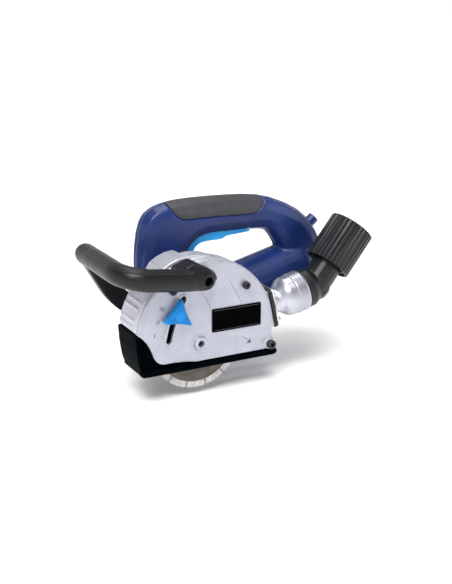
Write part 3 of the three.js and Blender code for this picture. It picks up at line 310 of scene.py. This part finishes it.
def cap_screw(node, head_r, head_h, shank_r):
    """A cap screw in a CAD screw's place: shank, knurled head, rounded rim and a hexagon socket."""
    direction = (0, -1, 0)
    low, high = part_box(node)
    along = Vector(direction)
    length = abs((high - low).dot(along)) / MM
    middle = (low + high) / 2
    origin = middle + along * (length / 2 - head_h) * MM
    bm = bmesh.new()
    rim = bmesh.ops.create_circle(bm, cap_ends=False, segments=KNURL_STEPS, radius=head_r * MM)["verts"]
    for vert in rim[1::2]:
        vert.co *= KNURL_DEPTH
    side = bmesh.ops.extrude_edge_only(bm, edges=bm.edges[:])
    bmesh.ops.translate(bm, verts=grown_verts(side), vec=(0, 0, (head_h - 0.6) * MM))
    ring = grown_ring(side)
    for inset, lift in ((0.93, 0.45), (0.84, 0.15)):
        step = bmesh.ops.extrude_edge_only(bm, edges=ring)
        verts = grown_verts(step)
        bmesh.ops.scale(bm, vec=(inset, inset, 1), verts=verts)
        bmesh.ops.translate(bm, verts=verts, vec=(0, 0, lift * MM))
        ring = grown_ring(step)
    hexagon = bmesh.ops.create_circle(bm, cap_ends=False, segments=6, radius=head_r * 0.5 * MM)["verts"]
    bmesh.ops.translate(bm, verts=hexagon, vec=(0, 0, head_h * MM))
    hex_edges = list({e for v in hexagon for e in v.link_edges})
    bmesh.ops.bridge_loops(bm, edges=ring + hex_edges)
    wall = bmesh.ops.extrude_edge_only(bm, edges=hex_edges)
    bmesh.ops.translate(bm, verts=grown_verts(wall), vec=(0, 0, -head_h * 0.6 * MM))
    bmesh.ops.holes_fill(bm, edges=bm.edges[:], sides=0)
    bmesh.ops.recalc_face_normals(bm, faces=bm.faces)
    bmesh.ops.transform(bm, matrix=frame_along(origin, direction), verts=bm.verts)
    body = frame["nodes"][node]["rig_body"]
    shown(node + "_head", bm, BLACK_OXIDE, body, [node], 30.0)
    depth = length - head_h
    outline = [(0.2, 0.01), (0.2, shank_r), (0.6 - depth, shank_r), (-depth, shank_r - 0.6), (-depth, 0.01)]
    shank = lathe(outline, origin, direction, 32)
    shown(node + "_shank", shank, ZINC_STEEL, body, [], 30.0)


# ---------- castings and mouldings that keep the CAD form ----------
moulded("disc_guard", CAST_ALUMINIUM, 1.1, 2)
moulded("side_cover", LINISHED_ALUMINIUM, 0.8, 2)
moulded("gear_housing", CAST_ALUMINIUM, 1.2, 4)
moulded("housing_near", NAVY_NYLON, 1.5, 9)
moulded("housing_far", NAVY_NYLON, 1.5, 9)
moulded("soft_grip", GRIP_RUBBER, 1.2, 6)
moulded("front_handle", BLACK_NYLON, 1.1, 12)
moulded("depth_sole", SOLE_POLYAMIDE, 0.8, 2)
moulded("trigger", TRIGGER_ABS_PAINTED_LIGHT, 0.7, 5)
moulded("port_elbow", BLACK_POLYPROPYLENE, 0.8, 5)
moulded("cord_inlet", NAVY_NYLON, 0.8, 4)

CAD_FINISHES = {
    "handle_screw_far": BLACK_OXIDE, "nameplate": BLACK_LABEL,
    "clamp_bolt": ZINC_STEEL, "clamp_washer": ZINC_STEEL, "trigger_pin": ZINC_STEEL,
    "spindle": GROUND_STEEL, "spacer_sleeve": GROUND_STEEL, "clamp_flange": GROUND_STEEL,
    "crown_gear": GROUND_STEEL, "pinion": GROUND_STEEL, "spindle_bearing_near": GROUND_STEEL,
    "spindle_bearing_far": GROUND_STEEL, "armature_shaft": GROUND_STEEL,
    "motor_bearing_front": GROUND_STEEL, "motor_bearing_rear": GROUND_STEEL,
    "armature_core": LAMINATION, "stator": LAMINATION, "commutator": COPPER,
    "brush_holder_near": BRASS, "brush_holder_far": BRASS,
    "carbon_brush_near": CARBON, "carbon_brush_far": CARBON,
    "cooling_fan": BLACK_NYLON, "switch_module": BLACK_NYLON, "spindle_lock": BLACK_NYLON,
    "port_gasket": GASKET_RUBBER,
}
for index in range(1, 6):
    CAD_FINISHES[f"housing_screw_{index}"] = ZINC_STEEL
for index in range(1, 5):
    CAD_FINISHES[f"port_screw_{index}"] = ZINC_STEEL
for node, material in CAD_FINISHES.items():
    mesh = frame["nodes"][node].data
    mesh.materials.clear()
    mesh.materials.append(material)


# ---------- diamond discs ----------
SEGMENTS = 14
SEGMENT_SHARE = 0.9     # of each segment's pitch; the rest is its gullet
DISC_R = 62.5
CORE_R = 54.5


def diamond_disc(node):
    """A saw-steel core with gullets, and diamond segments brazed on its rim."""
    low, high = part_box(node)
    core = lathe([(-0.8, 11.2), (0.8, 11.2), (0.8, CORE_R), (-0.8, CORE_R)], (0, 0, 0), (0, 0, 1), 84)
    tooth = bmesh.new()
    corners = [(CORE_R - 0.2, -1.2), (DISC_R - 0.2, -1.2), (DISC_R, -1.0), (DISC_R, 1.0),
               (DISC_R - 0.2, 1.2), (CORE_R - 0.2, 1.2)]
    section = tooth.faces.new([tooth.verts.new((r * MM, 0, z * MM)) for r, z in corners])
    bmesh.ops.spin(tooth, geom=[section, *section.edges, *section.verts], cent=(0, 0, 0), axis=(0, 0, 1),
                   angle=math.tau / SEGMENTS * SEGMENT_SHARE, steps=7, use_merge=False)
    bmesh.ops.recalc_face_normals(tooth, faces=tooth.faces)
    bmesh.ops.spin(tooth, geom=tooth.verts[:] + tooth.edges[:] + tooth.faces[:], cent=(0, 0, 0),
                   axis=(0, 0, 1), angle=math.tau, steps=SEGMENTS, use_duplicate=True)
    bmesh.ops.remove_doubles(tooth, verts=tooth.verts, dist=0.005 * MM)
    aim = frame_along(Vector((0, (low.y + high.y) / 2, SPINDLE_Z)), (0, -1, 0))
    bmesh.ops.transform(core, matrix=aim, verts=core.verts)
    bmesh.ops.transform(tooth, matrix=aim, verts=tooth.verts)
    shown(node + "_core", core, SAW_STEEL, "cutter", [node], 30.0)
    shown(node + "_segments", tooth, DIAMOND_SEGMENT, "cutter", [], 30.0)


diamond_disc("disc_near")
diamond_disc("disc_far")


# ---------- clamp knob ----------
WING_TIP = 21.8
WING_HOLLOW = 9.4
FIRST_WING = 80


def clamp_knob():
    """Three swept wings round a low hub: a disc whose rim is drawn in between the wings."""
    low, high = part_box("clamp_knob")
    thick = high.y - low.y
    wall_high = thick * 0.74
    bm = bmesh.new()
    rim = bmesh.ops.create_circle(bm, cap_ends=True, segments=96, radius=1.0)["verts"]
    for vert in rim:
        turn = math.degrees(math.atan2(vert.co.y, vert.co.x)) - FIRST_WING
        from_side = turn % 120 - 60
        reach = WING_HOLLOW / math.cos(math.radians(from_side * 1.09))
        vert.co *= min(reach, WING_TIP) * MM
    bmesh.ops.smooth_vert(bm, verts=bm.verts, factor=0.5, use_axis_x=True, use_axis_y=True, use_axis_z=True)
    wall = bmesh.ops.extrude_face_region(bm, geom=bm.faces[:])
    bmesh.ops.translate(bm, verts=grown_verts(wall), vec=(0, 0, wall_high))
    top = [f for f in bm.faces if len(f.verts) > 4 and f.calc_center_median().z > thick * 0.5]
    for shrink, lift in ((0.94, 0.8), (0.84, 0.7), (0.5, 0.1)):
        step = bmesh.ops.extrude_face_region(bm, geom=top)
        verts = grown_verts(step)
        bmesh.ops.scale(bm, vec=(shrink, shrink, 1), verts=verts)
        bmesh.ops.translate(bm, verts=verts, vec=(0, 0, lift * MM))
        old = top
        top = [f for f in step["geom"] if isinstance(f, bmesh.types.BMFace)]
        bmesh.ops.delete(bm, geom=[f for f in old if f.is_valid], context="FACES_ONLY")
    bmesh.ops.recalc_face_normals(bm, faces=bm.faces)
    seat = Vector((BOLT.x, high.y, BOLT.z))
    bmesh.ops.transform(bm, matrix=frame_along(seat, (0, -1, 0)), verts=bm.verts)
    shown("clamp_knob_wings", bm, BLUE_ABS, "knob", ["clamp_knob"], 40.0)
    dome = lathe([(0.0, 0.01), (0.0, 6.2), (0.9, 5.9), (1.5, 4.6), (1.7, 2.6), (1.7, 0.01)],
                 Vector((BOLT.x, high.y - wall_high - 1.2 * MM, BOLT.z)), (0, -1, 0), 40)
    shown("clamp_knob_hub", dome, BLUE_ABS, "knob", [], 40.0)


clamp_knob()


# ---------- dust port and hose collar ----------
def turned_port():
    """The port's neck and bell, with the rings a lathe leaves."""
    start = 10.6    # outer face of the flange
    bell = [(start - 3, 13.9), (start - 3, 18.5), (start + 3, 16.6)]
    bell += [(16 + 0.6 * i, PORT_NECK_R + (0.12 if i % 2 else 0)) for i in range(6)]
    bell += [(21, 17.2), (23, 18.4), (25.5, 20.8), (28, 23.0), (31, 25.0), (34, 26.1)]
    bell += [(34.6 + 0.8 * i, 26.3 + 0.03 * i + (0.12 if i % 2 else 0)) for i in range(12)]
    bell += [(44.6, 26.6), (45.2, PORT_MOUTH_R - 0.2), (46, PORT_MOUTH_R)]
    bell += [(47 + 1.1 * i, PORT_MOUTH_R - (0.1 if i % 2 else 0)) for i in range(11)]
    bell += [(PORT_LEN - 0.6, PORT_MOUTH_R), (PORT_LEN, PORT_MOUTH_R - 0.6), (PORT_LEN, 25.3), (46, 25.3)]
    bell += [(45.6, 18.2), (31, 18.0), (19, 14.0)]
    shown("dust_port_bell", lathe(bell, PORT_ROOT, PORT_DIR, 96), TURNED_ALUMINIUM, "machine", [],
          50.0)


def port_flange():
    """The CAD port's flange, without its bell: the copy is cut off square to the port."""
    bm = merged_copy("dust_port")
    bmesh.ops.bisect_plane(bm, geom=bm.verts[:] + bm.edges[:] + bm.faces[:], dist=0.001 * MM,
                           plane_co=PORT_ROOT + PORT_DIR * 11.5 * MM, plane_no=PORT_DIR, clear_outer=True)
    bmesh.ops.holes_fill(bm, edges=[e for e in bm.edges if e.is_boundary], sides=0)
    bmesh.ops.recalc_face_normals(bm, faces=bm.faces)
    shown("dust_port_flange", bm, TURNED_ALUMINIUM, "machine", ["dust_port"], 30.0)


def hose_collar():
    """A sleeve with broad lands and narrow grooves, and a rounded mouth."""
    lands = 30
    groove = (0.0, 0.0, 0.0, 0.0, 0.0, 0.7, 1.4, 0.7)
    # Stations down the outside and back up the bore: share of the radius, and mm along the sleeve.
    stations = [(0.985, 0.0), (1.0, 0.8), (1.0, COLLAR_LEN - 2.0), (1.0, COLLAR_LEN - 0.6),
                (0.975, COLLAR_LEN), (0.92, COLLAR_LEN - 0.3), (0.9, COLLAR_LEN - 3), (0.88, 16),
                (0.71, 14), (0.71, 3), (0.88, 2), (0.9, 0), (0.97, 0)]
    bm = bmesh.new()
    rim = bmesh.ops.create_circle(bm, cap_ends=False, segments=lands * len(groove),
                                  radius=COLLAR_R * MM)["verts"]
    for index, vert in enumerate(rim):
        vert.co *= 1 - groove[index % len(groove)] / COLLAR_R
    last_scale, last_along = stations[0]
    bmesh.ops.scale(bm, vec=(last_scale, last_scale, 1), verts=rim)
    first_ring = ring = bm.edges[:]
    for scale, along in stations[1:]:
        step = bmesh.ops.extrude_edge_only(bm, edges=ring)
        verts = grown_verts(step)
        ratio = scale / last_scale
        bmesh.ops.scale(bm, vec=(ratio, ratio, 1), verts=verts)
        bmesh.ops.translate(bm, verts=verts, vec=(0, 0, (along - last_along) * MM))
        ring = grown_ring(step)
        last_scale, last_along = scale, along
    bmesh.ops.bridge_loops(bm, edges=ring + first_ring)
    bmesh.ops.recalc_face_normals(bm, faces=bm.faces)
    start = ELBOW_CORNER + COLLAR_DIR * COLLAR_FROM * MM
    bmesh.ops.transform(bm, matrix=frame_along(start, COLLAR_DIR), verts=bm.verts)
    shown("hose_collar_sleeve", bm, BLACK_POLYPROPYLENE, "collar", ["hose_collar"], 40.0)


turned_port()
port_flange()
hose_collar()


# ---------- screws ----------
for node in ("cover_screw_front", "cover_screw_rear", "handle_screw_near"):
    cap_screw(node, 4.9, 5.4, 2.4)
cap_screw("pivot_bolt", 5.9, 5.9, 2.9)


# ---------- front handle's tube ----------
TUBE_R = 14
LEG_Y = -16
LEG_TOP_DROP = 5.5      # the leg's upper end, below the crossbar
LEG_FOOT_DROP = 12.8    # and its start near the screw


def handle_path():
    """Centre line of the handle's leg, bend and crossbar, in mm."""
    low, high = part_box("front_handle")
    screw_low, screw_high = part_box("handle_screw_near")
    bar_z = high.z / MM - TUBE_R
    bar_x = low.x / MM + TUBE_R
    leg_end = Vector((bar_x + 29.5, LEG_Y, bar_z - LEG_TOP_DROP))
    leg_start = Vector(((screw_low.x + screw_high.x) / 2 / MM - 12, LEG_Y, bar_z - LEG_FOOT_DROP))
    corner = Vector((bar_x + 2, LEG_Y + 1, bar_z))
    bar_start = Vector((bar_x, LEG_Y + 34, bar_z))
    leg = [leg_start.lerp(leg_end, i / 8) for i in range(9)]
    bend = []
    for i in range(1, 25):
        share = i / 24
        bend.append(leg_end.lerp(corner, share).lerp(corner.lerp(bar_start, share), share))
    bar = [bar_start + Vector((0, 9 * i, 0)) for i in range(1, 10)]
    return leg + bend + bar


def swept(name, section, path, end_scale=1.0):
    """A section of (outward, up) pairs in mm, carried along a path; its two ends may be drawn in."""
    bm = bmesh.new()
    rings = []
    last = len(path) - 1
    for index, point in enumerate(path):
        ahead = (path[min(index + 1, last)] - path[max(index - 1, 0)]).normalized()
        up = (Vector((0, 0, 1)) - ahead * ahead.z).normalized()
        outward = up.cross(ahead)
        scale = end_scale if index in (0, last) else 1.0
        rings.append([bm.verts.new((point + (outward * u + up * v) * scale) * MM) for u, v in section])
    for ring, following in zip(rings, rings[1:]):
        for k in range(len(section)):
            after = (k + 1) % len(section)
            bm.faces.new((ring[k], ring[after], following[after], following[k]))
    bm.faces.new(rings[0])
    bm.faces.new(rings[-1])
    bmesh.ops.recalc_face_normals(bm, faces=bm.faces)
    shown(name, bm, BLACK_NYLON, "machine", [], 30.0)


def turned_pairs(pairs, degrees):
    """Section pairs turned about the tube's centre, outward from the top."""
    angle = math.radians(degrees)
    c, s = math.cos(angle), math.sin(angle)
    return [(u * c + v * s, v * c - u * s) for u, v in pairs]


def handle_tube():
    """The smooth outside of the tube and the mould's low flat rib, turned outward from its top."""
    path = handle_path()
    skin_r = TUBE_R - 0.05
    around = [math.tau * k / 48 for k in range(48)]
    swept("front_handle_tube", [(skin_r * math.sin(a), skin_r * math.cos(a)) for a in around], path, 0.955)
    rib = [(-2.6, 12.8), (-2.4, 14.4), (-1.9, 14.75), (1.9, 14.75), (2.4, 14.4), (2.6, 12.8)]
    swept("front_handle_rib", turned_pairs(rib, 38), path[1:-1])


handle_tube()


# ---------- marks on the cover ----------
FACE_Y = -0.12
FACE_SINK = 0.05
TICKS = 12
TICK_FROM, TICK_TO = 11.8, 24.4
TALLY_R = 167


def face_mark(name, points):
    """A thin enamel-filled line or shape on the cover's face."""
    shown(name, slab(points, FACE_SINK, FACE_Y), ENGRAVING, "machine", [], 30.0)


def face_line(name, start, end, width):
    """A straight scribed line between two points of the face, in mm."""
    a, b = Vector(start), Vector(end)
    across = (b - a).normalized().orthogonal() * width / 2
    face_mark(name, [tuple(a + across), tuple(b + across), tuple(b - across), tuple(a - across)])


def arc_point(degrees, radius):
    """A point in X and Z (mm) on an arc round the sole's pivot."""
    angle = math.radians(degrees)
    return (PIVOT.x / MM - radius * math.cos(angle), PIVOT.z / MM + radius * math.sin(angle))


face_line("scribed_line_front", (1.5, 101.2), (15.7, 76.7), 0.45)
face_line("scribed_line_rear", (41.6, 108.9), (59.8, 76.1), 0.45)
for tick in range(TICKS):
    degrees = TICK_FROM + tick * (TICK_TO - TICK_FROM) / (TICKS - 1)
    reach = 158.5 if tick % 5 == 1 else 156
    face_line(f"depth_tick_{tick:02d}", arc_point(degrees, 152.6), arc_point(degrees, reach), 0.5)
face_line("rotation_arrow_shaft", (61, 31), (70.5, 23.5), 0.8)
face_mark("rotation_arrow_tip", [(66.5, 20.8), (73.5, 20.6), (71.8, 27.4)])


def depth_tally(strokes, degrees):
    """Raised strokes of the depth scale beside the slot: one for every ten millimetres of cut."""
    angle = math.radians(degrees)
    outward = Vector((-math.cos(angle), math.sin(angle)))
    along = Vector((math.sin(angle), math.cos(angle)))
    for stroke in range(strokes):
        centre = Vector(arc_point(degrees, TALLY_R)) + outward * (stroke - (strokes - 1) / 2) * 2.4
        face_line(f"depth_tally_{strokes}_{stroke + 1}", centre - along * 2.6, centre + along * 2.6, 1.1)


depth_tally(3, 24.6)
depth_tally(2, 18.7)
depth_tally(1, 13.0)

# The label's thin grey lines, along its top and its foot.
LABEL_LINE_HALF = 0.15
for name, z in (("label_line_top", 71.8), ("label_line_foot", 45.7)):
    ends = [(19.5, z - LABEL_LINE_HALF), (84.5, z - LABEL_LINE_HALF),
            (84.5, z + LABEL_LINE_HALF), (19.5, z + LABEL_LINE_HALF)]
    shown(name, slab(ends, -1.05, -1.2), ENGRAVING, "machine", [], 30.0)


# ---------- studio ----------
FLOOR_SIZE = 40.0
WALL_R = 12.0
WALL_HIGH = 5.0
TOOL_MIDDLE = Vector((0.05, 0, 0.06))


def staged(name, bm, material):
    """A mesh that belongs to the studio and not to the tool."""
    mesh = bpy.data.meshes.new(name)
    bm.to_mesh(mesh)
    bm.free()
    mesh.materials.append(material)
    thing = bpy.data.objects.new(name, mesh)
    bpy.context.scene.collection.objects.link(thing)


def floor():
    """A pale paper floor, far wider than the view."""
    bm = bmesh.new()
    bmesh.ops.create_grid(bm, x_segments=1, y_segments=1, size=FLOOR_SIZE)
    bmesh.ops.translate(bm, verts=bm.verts, vec=(0, 0, FLOOR_Z))
    # Matt white paper: an even pale floor.
    staged("floor", bm, finish_of("white_paper", "f4f4f4", "ffffff", 3.0, 0.9, 0.03, 0.01, blotch_mm=400))


def lit_wall():
    """A low ring of back-lit paper far off, so that low views have a white background too."""
    bm = bmesh.new()
    foot = bmesh.ops.create_circle(bm, cap_ends=False, segments=64, radius=WALL_R)["verts"]
    bmesh.ops.translate(bm, verts=foot, vec=(0, 0, FLOOR_Z - 0.01))
    rise = bmesh.ops.extrude_edge_only(bm, edges=bm.edges[:])
    bmesh.ops.translate(bm, verts=grown_verts(rise), vec=(0, 0, WALL_HIGH))
    # Back-lit white paper: it glows evenly.
    paper = bpy.data.materials.new("back_lit_paper")
    paper.use_nodes = True
    tree = paper.node_tree
    tree.nodes.clear()
    glow = add_node(tree, "ShaderNodeEmission", {"Color": linear("ffffff"), "Strength": 1.02})
    add_node(tree, "ShaderNodeOutputMaterial", links={"Surface": glow.outputs["Emission"]})
    staged("lit_wall", bm, paper)


def soft_light(name, place, size, power):
    """A square white soft box aimed at the middle of the tool."""
    light = bpy.data.lights.new(name, "AREA")
    light.shape = "SQUARE"
    light.size = size
    light.energy = power
    lamp = bpy.data.objects.new(name, light)
    bpy.context.scene.collection.objects.link(lamp)
    lamp.location = place
    lamp.rotation_euler = (TOOL_MIDDLE - Vector(place)).to_track_quat("-Z", "Y").to_euler()


floor()
lit_wall()
soft_light("key", (-1.0, -0.9, 1.3), 0.7, 9)
soft_light("fill", (1.4, -0.9, 0.9), 0.8, 4)
soft_light("top", (0.1, 0.5, 1.5), 0.8, 8)
sun = bpy.data.lights.new("daylight", "SUN")
sun.energy = 2.9
sun.angle = math.radians(35)
daylight = bpy.data.objects.new("daylight", sun)
bpy.context.scene.collection.objects.link(daylight)
daylight.rotation_euler = Vector((0.45, 0.65, -1.5)).to_track_quat("-Z", "Y").to_euler()

world = bpy.data.worlds.new("studio")
bpy.context.scene.world = world
world.use_nodes = True
sky = world.node_tree.nodes["Background"]
sky.inputs["Color"].default_value = (1, 1, 1, 1)
sky.inputs["Strength"].default_value = 0.3

camera_data = bpy.data.cameras.new("camera")
camera_data.lens = 64.1
camera_data.sensor_width = 36.0
camera_data.clip_end = 50
camera = bpy.data.objects.new("camera", camera_data)
bpy.context.scene.collection.objects.link(camera)
camera.location = (-0.5451, -1.0983, 0.4784)
camera.rotation_euler = (math.radians(90 - 17.18), 0, math.radians(-27.92))
bpy.context.scene.camera = camera
bpy.context.scene.view_settings.view_transform = "Standard"
